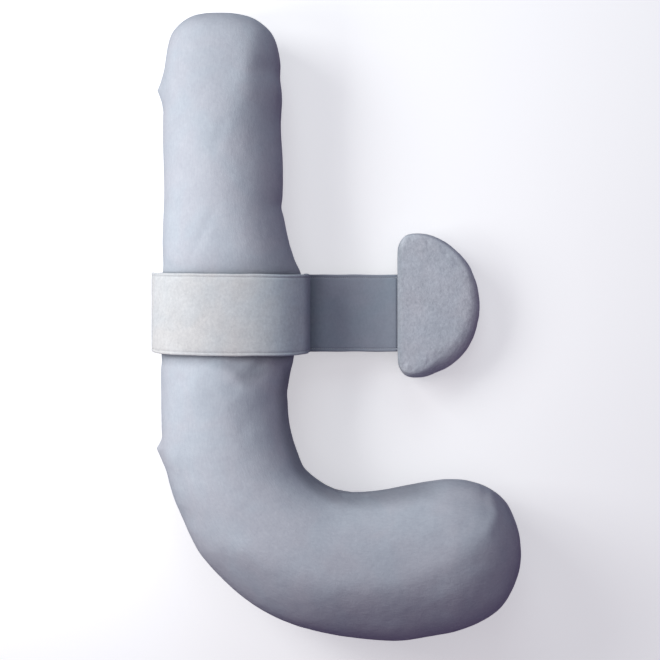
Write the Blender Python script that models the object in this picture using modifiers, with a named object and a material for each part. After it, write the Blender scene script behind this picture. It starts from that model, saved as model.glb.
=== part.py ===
"""A J-shaped pregnancy pillow with a belt and a half-moon wedge, lying on its back.

Metres, +Z up. The long leg runs along Y and the foot turns towards +X. The sizes in
the tables are measured from the leg's axis (x) and from the lowest edge of the foot
(y), and ORIGIN moves them so that (0, 0, 0) is the middle of the footprint.
"""

import math
from collections import namedtuple

import bmesh
import bpy
from mathutils import Vector

# Where the middle of the footprint lies in the tables' measure
ORIGIN_X = 0.2327
ORIGIN_Y = 0.6483

# The pillow: a stuffed cover that settles on the surface it lies on
LEG_AXIS_HEIGHT = 0.097
FOOT_AXIS_HEIGHT = 0.122
BEND_STARTS_Y = 0.53
BEND_ENDS_Y = 0.15
PILLOW_ROUNDNESS = 2.2
SETTLE_BAND = 0.008
BELT_FLOOR_STARTS_X = 0.20
BELT_FLOOR_ENDS_X = 0.24
RING_POINTS = 44
STATION_STEP = 0.027

# One row for each section across the pillow: its two ends in plan, on the outer side
# of the J and on the inner side, and its half height before the stuffing settles
Section = namedtuple("Section", "outer_x outer_y inner_x inner_y half_height")
PILLOW_SECTIONS = [
    # The rounded top end of the leg
    Section(-0.009, 1.293, -0.009, 1.293, 0.000),
    Section(-0.049, 1.288, 0.033, 1.289, 0.038),
    Section(-0.082, 1.274, 0.077, 1.275, 0.074),
    Section(-0.106, 1.245, 0.105, 1.245, 0.099),
    # The straight leg, a little wavy on its inner side
    Section(-0.117, 1.200, 0.116, 1.200, 0.108),
    Section(-0.121, 1.160, 0.114, 1.160, 0.111),
    Section(-0.122, 1.134, 0.118, 1.134, 0.112),
    Section(-0.122, 1.066, 0.116, 1.066, 0.112),
    Section(-0.122, 0.982, 0.122, 0.982, 0.112),
    Section(-0.122, 0.924, 0.123, 0.924, 0.112),
    Section(-0.122, 0.893, 0.122, 0.893, 0.112),
    Section(-0.123, 0.857, 0.128, 0.857, 0.112),
    Section(-0.124, 0.819, 0.137, 0.819, 0.112),
    Section(-0.125, 0.788, 0.148, 0.788, 0.111),
    # Squeezed under the belt
    Section(-0.126, 0.757, 0.161, 0.757, 0.106),
    Section(-0.127, 0.669, 0.159, 0.669, 0.106),
    Section(-0.129, 0.581, 0.147, 0.581, 0.106),
    # The leg below the belt
    Section(-0.129, 0.548, 0.139, 0.548, 0.111),
    Section(-0.128, 0.512, 0.133, 0.512, 0.114),
    Section(-0.128, 0.471, 0.133, 0.477, 0.116),
    # The bend
    Section(-0.127, 0.429, 0.136, 0.446, 0.118),
    Section(-0.125, 0.393, 0.143, 0.415, 0.120),
    Section(-0.116, 0.349, 0.155, 0.381, 0.123),
    Section(-0.101, 0.298, 0.168, 0.354, 0.126),
    Section(-0.077, 0.241, 0.187, 0.334, 0.129),
    Section(-0.045, 0.180, 0.211, 0.317, 0.133),
    Section(0.002, 0.126, 0.237, 0.306, 0.137),
    Section(0.062, 0.077, 0.263, 0.301, 0.140),
    # The foot
    Section(0.140, 0.039, 0.292, 0.300, 0.142),
    Section(0.222, 0.016, 0.325, 0.303, 0.142),
    Section(0.297, 0.006, 0.358, 0.309, 0.142),
    Section(0.364, 0.004, 0.393, 0.316, 0.142),
    Section(0.425, 0.013, 0.431, 0.323, 0.142),
    Section(0.481, 0.024, 0.469, 0.328, 0.140),
    # The rounded end of the foot
    Section(0.527, 0.041, 0.509, 0.325, 0.132),
    Section(0.565, 0.066, 0.549, 0.311, 0.116),
    Section(0.592, 0.101, 0.585, 0.283, 0.086),
    Section(0.610, 0.141, 0.607, 0.240, 0.048),
    Section(0.615, 0.186, 0.615, 0.186, 0.000),
]

# Puckers in the seam on the outer side of the J: how far each stands out, and how far
# it runs towards the top of the leg and towards the foot
Pucker = namedtuple("Pucker", "y reach above below height")
PUCKERS = [
    Pucker(y=1.134, reach=0.015, above=0.050, below=0.046, height=0.045),
    Pucker(y=0.393, reach=0.013, above=0.024, below=0.050, height=0.045),
]
PUCKER_SHARPNESS = 1.4

# Soft folds in the upper side, drawn in plan: a trough has a positive depth and a
# ridge a negative one
Fold = namedtuple("Fold", "line half_width depth")
FOLDS = [
    # The facet at the top of the leg
    Fold([(0.078, 1.240), (0.066, 1.190), (0.054, 1.130)], 0.024, -0.0026),
    Fold([(0.113, 1.190), (0.110, 1.150), (0.100, 1.090)], 0.030, 0.0024),
    # The crease that the belt draws down and to the left, a puff beside it, and a
    # second, softer crease below
    Fold([(0.070, 0.550), (0.040, 0.533), (0.020, 0.506)], 0.016, 0.0018),
    Fold([(-0.040, 0.528), (-0.005, 0.520), (0.020, 0.498)], 0.024, -0.0026),
    Fold([(0.083, 0.494), (0.066, 0.470), (0.040, 0.442)], 0.022, 0.0018),
    # A soft plane on the outer side of the bend
    Fold([(-0.098, 0.382), (-0.078, 0.290)], 0.016, -0.0020),
    Fold([(-0.078, 0.345), (-0.058, 0.262)], 0.022, 0.0026),
    # The crisp end of the foot's upper side
    Fold([(0.546, 0.299), (0.550, 0.274), (0.532, 0.249)], 0.018, -0.0024),
    # The shoulder along the lower side of the foot, and the flatter plane below it
    Fold(
        [(0.063, 0.210), (0.222, 0.144), (0.362, 0.150), (0.451, 0.190), (0.517, 0.238)],
        0.030,
        -0.0036,
    ),
    Fold(
        [(0.222, 0.076), (0.364, 0.078), (0.480, 0.104), (0.566, 0.162), (0.590, 0.262)],
        0.034,
        0.0046,
    ),
]

# The belt: one strip that goes round the leg and comes back to the wedge
BELT_THICKNESS = 0.0055
BELT_WIDTH = 0.164
BELT_CENTRE_Y = 0.6735
BELT_SLANT = 0.0065
BELT_CENTRE_X = 0.0145
BELT_HALF_SPAN = 0.164
BELT_CLEARANCE = 0.0006
BELT_LAYER_GAP = 0.0012
BELT_PINCH_HEIGHT = 0.056
BELT_DROOP = 1.8
BELT_END_GAP = 0.0006
BELT_CORNER = 0.012
BELT_ROUND_STEPS = 60
BELT_STRAP_STEPS = 9
BELT_CORNER_STEPS = 4
BELT_WIDTH_STEPS = 4
BELT_LIFT_MARGIN = 0.004
BELT_LIFT_RUN = 0.045

# The wedge: thick along its straight side, thin at its curved rim
WEDGE_THICK = 0.108
WEDGE_THIN = 0.086
WEDGE_BOXINESS = 6.0
WEDGE_RIM_SOFTNESS = 3.2
WEDGE_FACE_X = 0.3625
WEDGE_CENTRE = (0.445, 0.690)
WEDGE_CURVE_RUN = 0.110
WEDGE_OUTLINE_STEPS = 3
WEDGE_RIM_RINGS = 11
WEDGE_FACE_RINGS = (0.66, 0.33)
WEDGE_SINK = 0.009
OutlinePoint = namedtuple("OutlinePoint", "x y")
WEDGE_OUTLINE = [
    # The straight side, from its top corner to its bottom corner
    OutlinePoint(0.3625, 0.790),
    OutlinePoint(0.3625, 0.740),
    OutlinePoint(0.3625, 0.690),
    OutlinePoint(0.3625, 0.640),
    OutlinePoint(0.3629, 0.590),
    OutlinePoint(0.3668, 0.557),
    # The curved rim, back up to the top corner
    OutlinePoint(0.3810, 0.5405),
    OutlinePoint(0.4045, 0.536),
    OutlinePoint(0.4260, 0.539),
    OutlinePoint(0.4510, 0.548),
    OutlinePoint(0.4860, 0.565),
    OutlinePoint(0.5140, 0.592),
    OutlinePoint(0.5330, 0.630),
    OutlinePoint(0.5425, 0.669),
    OutlinePoint(0.5430, 0.703),
    OutlinePoint(0.5370, 0.737),
    OutlinePoint(0.5220, 0.772),
    OutlinePoint(0.4985, 0.801),
    OutlinePoint(0.4680, 0.824),
    OutlinePoint(0.4350, 0.839),
    OutlinePoint(0.4060, 0.843),
    OutlinePoint(0.3800, 0.8375),
    OutlinePoint(0.3658, 0.820),
]


def smooth_step(low, high, value):
    """0 below low, 1 above high, and an S-curve between them."""
    share = min(1.0, max(0.0, (value - low) / (high - low)))
    return share * share * (3 - 2 * share)


def settle(z, floor):
    """A height pressed flat onto the floor, with a soft edge to the flat patch."""
    above = z - floor
    if above >= SETTLE_BAND:
        return z
    if above <= -SETTLE_BAND:
        return floor
    return floor + (above + SETTLE_BAND) ** 2 / (4 * SETTLE_BAND)


def squircle(angle, half_width, half_height, roundness):
    """A point of a rounded section, across and up from its middle."""
    power = 2 / roundness
    across = math.copysign(abs(math.cos(angle)) ** power, math.cos(angle))
    up = math.copysign(abs(math.sin(angle)) ** power, math.sin(angle))
    return half_width * across, half_height * up


def smooth_rows(rows, steps_between):
    """Rows of numbers joined by a smooth curve. Each stretch between two rows is cut
    into the steps that steps_between gives for its length."""
    lengths = [max(1e-4, math.dist(a, b)) for a, b in zip(rows[:-1], rows[1:])]
    found = []
    for i in range(1, len(rows) - 2):
        before, here, after = lengths[i - 1], lengths[i], lengths[i + 1]
        p0, p1, p2, p3 = rows[i - 1 : i + 3]
        steps = steps_between(here)
        for step in range(steps):
            t = step / steps
            found.append(
                [
                    hermite(t, here, b, c, slope(a, b, c, before, here), slope(b, c, d, here, after))
                    for a, b, c, d in zip(p0, p1, p2, p3)
                ]
            )
    found.append(list(rows[-2]))
    return found


def slope(before, here, after, length_before, length_after):
    """The slope of a smooth curve at the middle one of three unevenly spaced values."""
    back = (here - before) / length_before
    on = (after - here) / length_after
    return (back * length_after + on * length_before) / (length_before + length_after)


def hermite(t, length, start, end, start_slope, end_slope):
    """A cubic from start to end with the given slopes."""
    return (
        (2 * t**3 - 3 * t**2 + 1) * start
        + (t**3 - 2 * t**2 + t) * length * start_slope
        + (3 * t**2 - 2 * t**3) * end
        + (t**3 - t**2) * length * end_slope
    )


def axis_height(y):
    """Height of the pillow's middle: low along the leg, higher in the thick foot."""
    share = smooth_step(BEND_ENDS_Y, BEND_STARTS_Y, y)
    return FOOT_AXIS_HEIGHT + (LEG_AXIS_HEIGHT - FOOT_AXIS_HEIGHT) * share


def pillow_floor(x, y):
    """What the pillow lies on: the surface or, where the belt passes under the leg, the
    belt."""
    off_belt = abs(y - BELT_CENTRE_Y) - (BELT_WIDTH / 2 + BELT_SLANT)
    on_leg = 1 - smooth_step(BELT_FLOOR_STARTS_X, BELT_FLOOR_ENDS_X, x)
    near_belt = 1 - smooth_step(BELT_LIFT_MARGIN, BELT_LIFT_RUN, off_belt)
    return (BELT_THICKNESS + BELT_CLEARANCE) * on_leg * near_belt


def distance_to_line(place, line):
    """How far a place in plan is from a line of several points."""
    nearest = math.inf
    for start, end in zip(line[:-1], line[1:]):
        along = Vector(end) - Vector(start)
        share = (place - Vector(start)).dot(along) / along.length_squared
        on_line = Vector(start) + along * min(1.0, max(0.0, share))
        nearest = min(nearest, (place - on_line).length)
    return nearest


def fold_depth(x, y):
    """How deep the folds are at a place in plan."""
    total = 0.0
    for fold in FOLDS:
        away = distance_to_line(Vector((x, y)), fold.line) / fold.half_width
        total += fold.depth * math.exp(-away * away)
    return total


def pucker_reach(y, height_off_seam):
    """How far the puckers push the outer side out."""
    total = 0.0
    for pucker in PUCKERS:
        run = pucker.above if y > pucker.y else pucker.below
        along = max(0.0, 1 - abs(y - pucker.y) / run) ** PUCKER_SHARPNESS
        up = math.exp(-((height_off_seam / pucker.height) ** 2))
        total += pucker.reach * along * up
    return total


def pillow_ring(section):
    """The points round one section of the pillow."""
    outer = Vector((section.outer_x, section.outer_y))
    inner = Vector((section.inner_x, section.inner_y))
    middle, half_span = (outer + inner) / 2, (inner - outer) / 2
    across = half_span.normalized()
    ring = []
    for i in range(RING_POINTS):
        angle = 2 * math.pi * i / RING_POINTS
        side, up = squircle(angle, half_span.length, section.half_height, PILLOW_ROUNDNESS)
        place = middle + across * side
        if up > 0:
            normal = Vector((side / half_span.length**2, up / section.half_height**2))
            normal.normalize()
            depth = fold_depth(place.x, place.y)
            place -= across * normal.x * depth
            up -= normal.y * depth
        if side < 0:
            place -= across * pucker_reach(outer.y, up)
        height = settle(axis_height(middle.y) + up, pillow_floor(place.x, place.y))
        ring.append(placed(place.x, place.y, height))
    return ring


def placed(x, y, z):
    """A point of the tables, moved so that the footprint is centred on the origin."""
    return Vector((x - ORIGIN_X, y - ORIGIN_Y, z))


def material(name, colour, roughness):
    made = bpy.data.materials.new(name)
    made.use_nodes = True
    shader = made.node_tree.nodes["Principled BSDF"]
    shader.inputs["Base Color"].default_value = (*colour, 1.0)
    shader.inputs["Roughness"].default_value = roughness
    shader.inputs["Metallic"].default_value = 0.0
    made.diffuse_color = (*colour, 1.0)
    return made


def add_object(name, bm, finish, collection):
    """Makes a smooth-shaded object from a bmesh."""
    mesh = bpy.data.meshes.new(name)
    bm.to_mesh(mesh)
    bm.free()
    mesh.shade_smooth()
    made = bpy.data.objects.new(name, mesh)
    made.data.materials.append(finish)
    collection.objects.link(made)
    return made


def loft(bm, rings, start_pole, end_pole):
    """Joins rings of the same number of points with quads, and closes both ends with a
    fan to a pole."""
    loops = [[bm.verts.new(point) for point in ring] for ring in rings]
    count = len(loops[0])
    for ring, following in zip(loops[:-1], loops[1:]):
        for i in range(count):
            j = (i + 1) % count
            bm.faces.new((ring[i], ring[j], following[j], following[i]))
    for loop, pole in ((loops[0], start_pole), (loops[-1], end_pole)):
        tip = bm.verts.new(pole)
        for i in range(count):
            bm.faces.new((loop[i], loop[(i + 1) % count], tip))
    bmesh.ops.recalc_face_normals(bm, faces=bm.faces)


def build_pillow(finish, collection):
    """The stuffed J, lofted through its sections from the top of the leg to the toe."""
    def swapped(row):
        return Section(row.inner_x, row.inner_y, row.outer_x, row.outer_y, -row.half_height)

    table = PILLOW_SECTIONS
    rows = smooth_rows(
        [swapped(table[1]), *table, swapped(table[-2])],
        lambda length: max(1, round(length / STATION_STEP)),
    )
    top, *sections, toe = [Section(*row) for row in rows]
    poles = [placed(end.outer_x, end.outer_y, axis_height(end.outer_y)) for end in (top, toe)]
    bm = bmesh.new()
    loft(bm, [pillow_ring(section) for section in sections], *poles)
    return add_object("j_pillow", bm, finish, collection)


def belt_crown():
    """Half height of the belt's loop, outside, so that it clears the squeezed leg."""
    under_belt = [
        s.half_height for s in PILLOW_SECTIONS if abs(s.outer_y - BELT_CENTRE_Y) < BELT_WIDTH / 2
    ]
    squeezed = min(under_belt)
    return squeezed + BELT_CLEARANCE + BELT_THICKNESS


def belt_loop_point(angle):
    """A point on the outer face of the belt's loop, in a plane across the leg."""
    side, up = squircle(angle, BELT_HALF_SPAN, belt_crown(), PILLOW_ROUNDNESS)
    return Vector((BELT_CENTRE_X + side, settle(LEG_AXIS_HEIGHT + up, 0.0)))


def belt_path():
    """The strip's outer face seen from the foot: from the wedge over the strap, round
    the leg and back. Each row is across, up, and how far round the loop it is."""
    half_strap = BELT_THICKNESS + BELT_LAYER_GAP / 2
    strap_end = Vector((WEDGE_FACE_X - BELT_END_GAP, (WEDGE_THICK - WEDGE_SINK) / 2))
    drop = (LEG_AXIS_HEIGHT - BELT_PINCH_HEIGHT) / belt_crown()
    pinch = -math.asin(drop ** (PILLOW_ROUNDNESS / 2))
    parting = math.asin(half_strap / belt_crown())
    corner = belt_loop_point(pinch + parting)
    corner_low = belt_loop_point(pinch - parting)
    upper, lower = [], []
    for step in range(BELT_STRAP_STEPS + 1):
        share = step / BELT_STRAP_STEPS
        level = strap_end.y + (BELT_PINCH_HEIGHT - strap_end.y) * share**BELT_DROOP
        across = strap_end.x + (corner.x + BELT_CORNER - strap_end.x) * share
        upper.append(Vector((across, level + half_strap)))
        lower.append(Vector((across, level - half_strap)))
    turn = parting + BELT_CORNER / belt_crown()
    upper += rounded_corner(upper[-1], corner, belt_loop_point(pinch + turn))
    lower += rounded_corner(lower[-1], corner_low, belt_loop_point(pinch - turn))
    path = [(p.x, p.y, 0.0) for p in upper]
    for step in range(BELT_ROUND_STEPS + 1):
        angle = pinch + turn + (2 * math.pi - 2 * turn) * step / BELT_ROUND_STEPS
        point = belt_loop_point(angle)
        path.append((point.x, point.y, math.sin(angle - pinch)))
    path += [(p.x, p.y, 0.0) for p in reversed(lower)]
    return path


def rounded_corner(start, corner, end):
    """The points between start and end of a curve that is drawn towards a corner."""
    found = []
    for step in range(1, BELT_CORNER_STEPS):
        t = step / BELT_CORNER_STEPS
        found.append(start * (1 - t) ** 2 + corner * 2 * t * (1 - t) + end * t**2)
    return found


def build_belt(finish, collection):
    """The belt: a strip drawn along its path and given its thickness inwards."""
    bm = bmesh.new()
    rows = []
    for across, up, round_loop in belt_path():
        row = []
        for step in range(BELT_WIDTH_STEPS + 1):
            share = step / BELT_WIDTH_STEPS - 0.5
            y = BELT_CENTRE_Y - BELT_SLANT * round_loop + BELT_WIDTH * share
            row.append(bm.verts.new(placed(across, y, up)))
        rows.append(row)
    for row, following in zip(rows[:-1], rows[1:]):
        for i in range(BELT_WIDTH_STEPS):
            bm.faces.new((row[i], row[i + 1], following[i + 1], following[i]))
    belt = add_object("belt", bm, finish, collection)
    solid = belt.modifiers.new("Thickness", "SOLIDIFY")
    solid.thickness = BELT_THICKNESS
    solid.offset = -1.0
    solid.use_even_offset = True
    return belt


def wedge_outline():
    """The wedge's outline in plan, a closed smooth curve."""
    table = [tuple(point) for point in WEDGE_OUTLINE]
    closed = [table[-1], *table, table[0], table[1]]
    curve = smooth_rows(closed, lambda length: WEDGE_OUTLINE_STEPS)[:-1]
    return [Vector((max(x, WEDGE_FACE_X), y)) for x, y in curve]


def wedge_thickness(x):
    """Thick at the straight side, thin at the curved rim."""
    far = max(point.x for point in WEDGE_OUTLINE)
    share = (x - WEDGE_FACE_X) / (far - WEDGE_FACE_X)
    return WEDGE_THICK + (WEDGE_THIN - WEDGE_THICK) * share


def wedge_profile():
    """The rings from the middle of the underside to the middle of the face: an angle
    round the rim, and how far the ring is drawn in from there."""
    angles = [
        math.pi * (step / (WEDGE_RIM_RINGS + 1) - 0.5) for step in range(1, WEDGE_RIM_RINGS + 1)
    ]
    face = [(angles[-1], drawn_in) for drawn_in in WEDGE_FACE_RINGS]
    underside = [(angles[0], drawn_in) for drawn_in in reversed(WEDGE_FACE_RINGS)]
    return underside + [(angle, 1.0) for angle in angles] + face


def build_wedge(finish, collection):
    """The half-moon wedge, lofted from the middle of its underside, round its rim, to
    the middle of its face."""
    centre = Vector(WEDGE_CENTRE)
    outline = wedge_outline()
    rings = []
    for angle, drawn_in in wedge_profile():
        ring = []
        for point in outline:
            curved = smooth_step(WEDGE_FACE_X, WEDGE_FACE_X + WEDGE_CURVE_RUN, point.x)
            boxiness = WEDGE_BOXINESS + (WEDGE_RIM_SOFTNESS - WEDGE_BOXINESS) * curved
            share = squircle(angle, 1.0, 1.0, boxiness)[0] * drawn_in
            up = math.copysign((1 - share**boxiness) ** (1 / boxiness), angle) / 2
            place = centre + (point - centre) * share
            height = (0.5 + up) * wedge_thickness(place.x) - WEDGE_SINK
            ring.append(placed(place.x, place.y, settle(height, 0.0)))
        rings.append(ring)
    bm = bmesh.new()
    top = wedge_thickness(centre.x) - WEDGE_SINK
    loft(bm, rings, placed(*centre, 0.0), placed(*centre, top))
    return add_object("belly_wedge", bm, finish, collection)


def main():
    for old in list(bpy.data.objects):
        bpy.data.objects.remove(old)
    parts = bpy.data.collections.new("pregnancy_pillow")
    bpy.context.scene.collection.children.link(parts)
    jersey = material("pillow_jersey", (0.47, 0.51, 0.59), 0.95)
    webbing = material("belt_fleece", (0.53, 0.55, 0.59), 0.95)
    fleece = material("wedge_fleece", (0.45, 0.48, 0.54), 0.95)
    build_pillow(jersey, parts)
    build_belt(webbing, parts)
    build_wedge(fleece, parts)


main()
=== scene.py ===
# %% [markdown]
# # A pregnancy pillow, lying on its back
#
# The real object is three sewn pieces: a long stuffed cover in the shape of a J, a wide
# cloth belt that goes round its leg, and a half-moon wedge on the end of the belt. Each
# step below makes one piece or one finish. All sizes are in metres. The tables are
# measured from the leg's axis and from the lowest edge of the foot, and `ORIGIN` moves
# them into the frame, whose zero is the middle of the footprint.

# %% Load the frame and list its parts
import math
from collections import namedtuple

import bmesh
import bpy
import numpy as np
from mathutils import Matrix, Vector, noise


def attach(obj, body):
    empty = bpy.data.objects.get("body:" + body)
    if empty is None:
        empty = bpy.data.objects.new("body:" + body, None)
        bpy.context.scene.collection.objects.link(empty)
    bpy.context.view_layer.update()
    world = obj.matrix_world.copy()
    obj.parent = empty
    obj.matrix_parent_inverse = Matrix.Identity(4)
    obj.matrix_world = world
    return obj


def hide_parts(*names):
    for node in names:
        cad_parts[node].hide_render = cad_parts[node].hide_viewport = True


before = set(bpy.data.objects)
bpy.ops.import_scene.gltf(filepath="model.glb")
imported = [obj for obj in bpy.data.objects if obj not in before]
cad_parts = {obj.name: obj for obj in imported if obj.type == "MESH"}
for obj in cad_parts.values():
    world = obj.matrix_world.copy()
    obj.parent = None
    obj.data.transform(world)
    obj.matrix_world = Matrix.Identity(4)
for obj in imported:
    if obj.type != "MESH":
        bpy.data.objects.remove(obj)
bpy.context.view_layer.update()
ORIGIN = np.array((0.2327, 0.6483, 0.0))
print("the frame holds", sorted(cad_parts))

# %% [markdown]
# ## The shape of the stuffed J
#
# A stuffed cover could be sculpted, but its shape is easier to control as a loft: a row
# of rounded sections, each given by its outer end, its inner end and its half height.
# These are the sections that the solid underneath has. A smooth curve through the rows
# gives as many sections as the cloth needs.

# %% Sections across the pillow
Section = namedtuple("Section", "outer_x outer_y inner_x inner_y half_height")
PILLOW_ROWS = [
    # The rounded top end of the leg
    (-0.009, 1.293, -0.009, 1.293, 0.000),
    (-0.049, 1.288, 0.033, 1.289, 0.038),
    (-0.082, 1.274, 0.077, 1.275, 0.074),
    (-0.106, 1.245, 0.105, 1.245, 0.099),
    # The straight leg, a little wavy on its inner side
    (-0.117, 1.200, 0.116, 1.200, 0.108),
    (-0.121, 1.160, 0.114, 1.160, 0.111),
    (-0.122, 1.134, 0.118, 1.134, 0.112),
    (-0.122, 1.066, 0.116, 1.066, 0.112),
    (-0.122, 0.982, 0.122, 0.982, 0.112),
    (-0.122, 0.924, 0.123, 0.924, 0.112),
    (-0.122, 0.893, 0.122, 0.893, 0.112),
    (-0.123, 0.857, 0.128, 0.857, 0.112),
    (-0.124, 0.819, 0.137, 0.819, 0.112),
    (-0.125, 0.788, 0.148, 0.788, 0.111),
    # Squeezed under the belt
    (-0.126, 0.757, 0.161, 0.757, 0.106),
    (-0.127, 0.669, 0.159, 0.669, 0.106),
    (-0.129, 0.581, 0.147, 0.581, 0.106),
    # The leg below the belt
    (-0.129, 0.548, 0.139, 0.548, 0.111),
    (-0.128, 0.512, 0.133, 0.512, 0.114),
    (-0.128, 0.471, 0.133, 0.477, 0.116),
    # The bend
    (-0.127, 0.429, 0.136, 0.446, 0.118),
    (-0.125, 0.393, 0.143, 0.415, 0.120),
    (-0.116, 0.349, 0.155, 0.381, 0.123),
    (-0.101, 0.298, 0.168, 0.354, 0.126),
    (-0.077, 0.241, 0.187, 0.334, 0.129),
    (-0.045, 0.180, 0.211, 0.317, 0.133),
    (0.002, 0.126, 0.237, 0.306, 0.137),
    (0.062, 0.077, 0.263, 0.301, 0.140),
    # The foot
    (0.140, 0.039, 0.292, 0.300, 0.142),
    (0.222, 0.016, 0.325, 0.303, 0.142),
    (0.297, 0.006, 0.358, 0.309, 0.142),
    (0.364, 0.004, 0.393, 0.316, 0.142),
    (0.425, 0.013, 0.431, 0.323, 0.142),
    (0.481, 0.024, 0.469, 0.328, 0.140),
    # The rounded end of the foot
    (0.527, 0.041, 0.509, 0.325, 0.132),
    (0.565, 0.066, 0.549, 0.311, 0.116),
    (0.592, 0.101, 0.585, 0.283, 0.086),
    (0.610, 0.141, 0.607, 0.240, 0.048),
    (0.615, 0.186, 0.615, 0.186, 0.000),
]
PILLOW_SECTIONS = [Section(*row) for row in PILLOW_ROWS]
PILLOW_ROUNDNESS = 2.2
TOP_END_BOXIER = 0.35
TOP_END_BETWEEN_Y = (1.02, 1.18)
SETTLE_BAND = 0.008
LEG_AXIS_HEIGHT = 0.097
FOOT_AXIS_HEIGHT = 0.122
BEND_BETWEEN_Y = (0.15, 0.53)


# %% Smooth curves through the rows of a table
def smooth_step(low, high, value):
    """0 below low, 1 above high, and an S-curve between them."""
    share = np.clip((np.asarray(value, float) - low) / (high - low), 0, 1)
    return share * share * (3 - 2 * share)


def smooth_rows(rows, step):
    """Joins rows of numbers by a smooth curve, with a new row about every step. The
    first and last row only give the slope there."""
    rows = np.array(rows, float)
    lengths = np.maximum(1e-4, np.linalg.norm(np.diff(rows, axis=0), axis=1))[:, None]
    steepness = np.diff(rows, axis=0) / lengths
    slopes = steepness[:-1] * lengths[1:] + steepness[1:] * lengths[:-1]
    slopes /= lengths[:-1] + lengths[1:]
    found = []
    for i in range(1, len(rows) - 2):
        count = max(1, round(lengths[i, 0] / step))
        t = (np.arange(count) / count)[:, None]
        found.append(
            (2 * t**3 - 3 * t**2 + 1) * rows[i]
            + (t**3 - 2 * t**2 + t) * lengths[i] * slopes[i - 1]
            + (3 * t**2 - 2 * t**3) * rows[i + 1]
            + (t**3 - t**2) * lengths[i] * slopes[i]
        )
    return np.vstack([*found, rows[-2][None]])


def signed_power(value, power):
    """Raises the size of a number to a power and keeps its sign."""
    return np.sign(value) * np.abs(value) ** power


def settle(z, floor):
    """Heights pressed flat onto the floor, with a soft edge to the flat patch."""
    above = z - floor
    soft = floor + (above + SETTLE_BAND) ** 2 / (4 * SETTLE_BAND)
    return np.where(above >= SETTLE_BAND, z, np.where(above <= -SETTLE_BAND, floor, soft))


# %% [markdown]
# ## Where the belt runs
#
# The belt squeezes the leg and lifts it by its own thickness, so its sizes are needed
# before the pillow is made. Its loop is a little longer than the girth of the leg, so it
# stands off on the outer side, and its two runs meet on the inner side and go on to the
# wedge as one strap.

# %% Sizes of the belt
BELT_THICKNESS = 0.0055
BELT_WIDTH = 0.164
BELT_CENTRE_Y = 0.6735
BELT_SLANT = 0.0065
BELT_CENTRE_X = 0.0145
BELT_HALF_SPAN = 0.164
BELT_CLEARANCE = 0.0006
BELT_LAYER_GAP = 0.0012
BELT_PINCH_HEIGHT = 0.056
BELT_DROOP = 1.8
BELT_END_GAP = 0.0006
BELT_CORNER = 0.012
SQUEEZED_HALF_HEIGHT = 0.106
BELT_CROWN = SQUEEZED_HALF_HEIGHT + BELT_CLEARANCE + BELT_THICKNESS
WEDGE_FACE_X = 0.3625


def off_belt(y):
    """How far a place is from the belt's edge, along the leg. Negative under the belt."""
    return np.abs(y - BELT_CENTRE_Y) - (BELT_WIDTH / 2 + BELT_SLANT)


def off_belt_on_top(y):
    """The same on top of the leg, where the slanted loop lies nearest to the foot."""
    return np.abs(y - (BELT_CENTRE_Y - BELT_SLANT)) - BELT_WIDTH / 2


# %% [markdown]
# ## Folds and puckers
#
# Stuffing pushes the cloth out, and the cloth creases where something holds it back:
# beside the belt, inside the bend, and where the end of the foot was sewn. Random noise
# alone would look like rock, so the folds that the eye knows are listed one by one, each
# as a soft trough or ridge along a line. A trough has a positive depth and a ridge a
# negative one.

# %% The folds, listed one by one
Fold = namedtuple("Fold", "line half_width depth")
FOLDS = [
    # The facet at the top of the leg: a soft edge, and a flatter plane on its right
    Fold([(0.078, 1.240), (0.066, 1.190), (0.054, 1.130)], 0.024, -0.0020),
    Fold([(0.113, 1.190), (0.110, 1.150), (0.100, 1.090)], 0.030, 0.0014),
    # Faint creases down the leg
    Fold([(0.013, 1.046), (-0.007, 0.996)], 0.010, 0.0008),
    Fold([(-0.007, 0.877), (-0.057, 0.777)], 0.010, 0.0009),
    # The crease that the belt draws down and to the left, with a puff on its left
    Fold([(0.070, 0.550), (0.040, 0.533), (0.020, 0.506)], 0.013, 0.0007),
    Fold([(-0.040, 0.528), (-0.005, 0.520), (0.020, 0.498)], 0.024, -0.0026),
    # A second, softer one below it
    Fold([(0.096, 0.494), (0.080, 0.470), (0.054, 0.442)], 0.022, 0.0016),
    # A soft plane on the outer side of the bend
    Fold([(-0.098, 0.382), (-0.078, 0.290)], 0.016, -0.0020),
    Fold([(-0.078, 0.345), (-0.058, 0.262)], 0.022, 0.0026),
    # The edge along the top of the foot
    Fold(
        [(0.302, 0.299), (0.362, 0.305), (0.421, 0.321), (0.471, 0.323), (0.521, 0.313)],
        0.011,
        -0.0018,
    ),
    # The crisp end of the foot's upper side
    Fold([(0.546, 0.299), (0.550, 0.274), (0.532, 0.249)], 0.013, -0.0024),
    # The shoulder along the lower side of the foot, and the flatter plane below it
    Fold(
        [(0.063, 0.210), (0.222, 0.144), (0.362, 0.150), (0.451, 0.190), (0.517, 0.238)],
        0.030,
        -0.0036,
    ),
    Fold(
        [(0.020, 0.165), (0.110, 0.100), (0.222, 0.068), (0.364, 0.066)]
        + [(0.484, 0.094), (0.570, 0.158), (0.592, 0.262)],
        0.036,
        0.0042,
    ),
    # Short wrinkles on top of the foot
    Fold([(0.410, 0.285), (0.450, 0.282)], 0.006, 0.0007),
    Fold([(0.425, 0.268), (0.472, 0.262)], 0.006, -0.0007),
    Fold([(0.412, 0.236), (0.455, 0.232)], 0.006, 0.0007),
]
Pucker = namedtuple("Pucker", "y reach above below height")
PUCKERS = [
    Pucker(1.134, 0.015, 0.050, 0.046, 0.036),
    Pucker(0.393, 0.013, 0.024, 0.050, 0.036),
]
PUCKER_SHARPNESS = 1.4
SQUEEZE_DEPTH = 0.0060
SQUEEZE_RUN = 0.009
SAG_DEPTH = 0.0016
SAG_STARTS = -0.002
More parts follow.
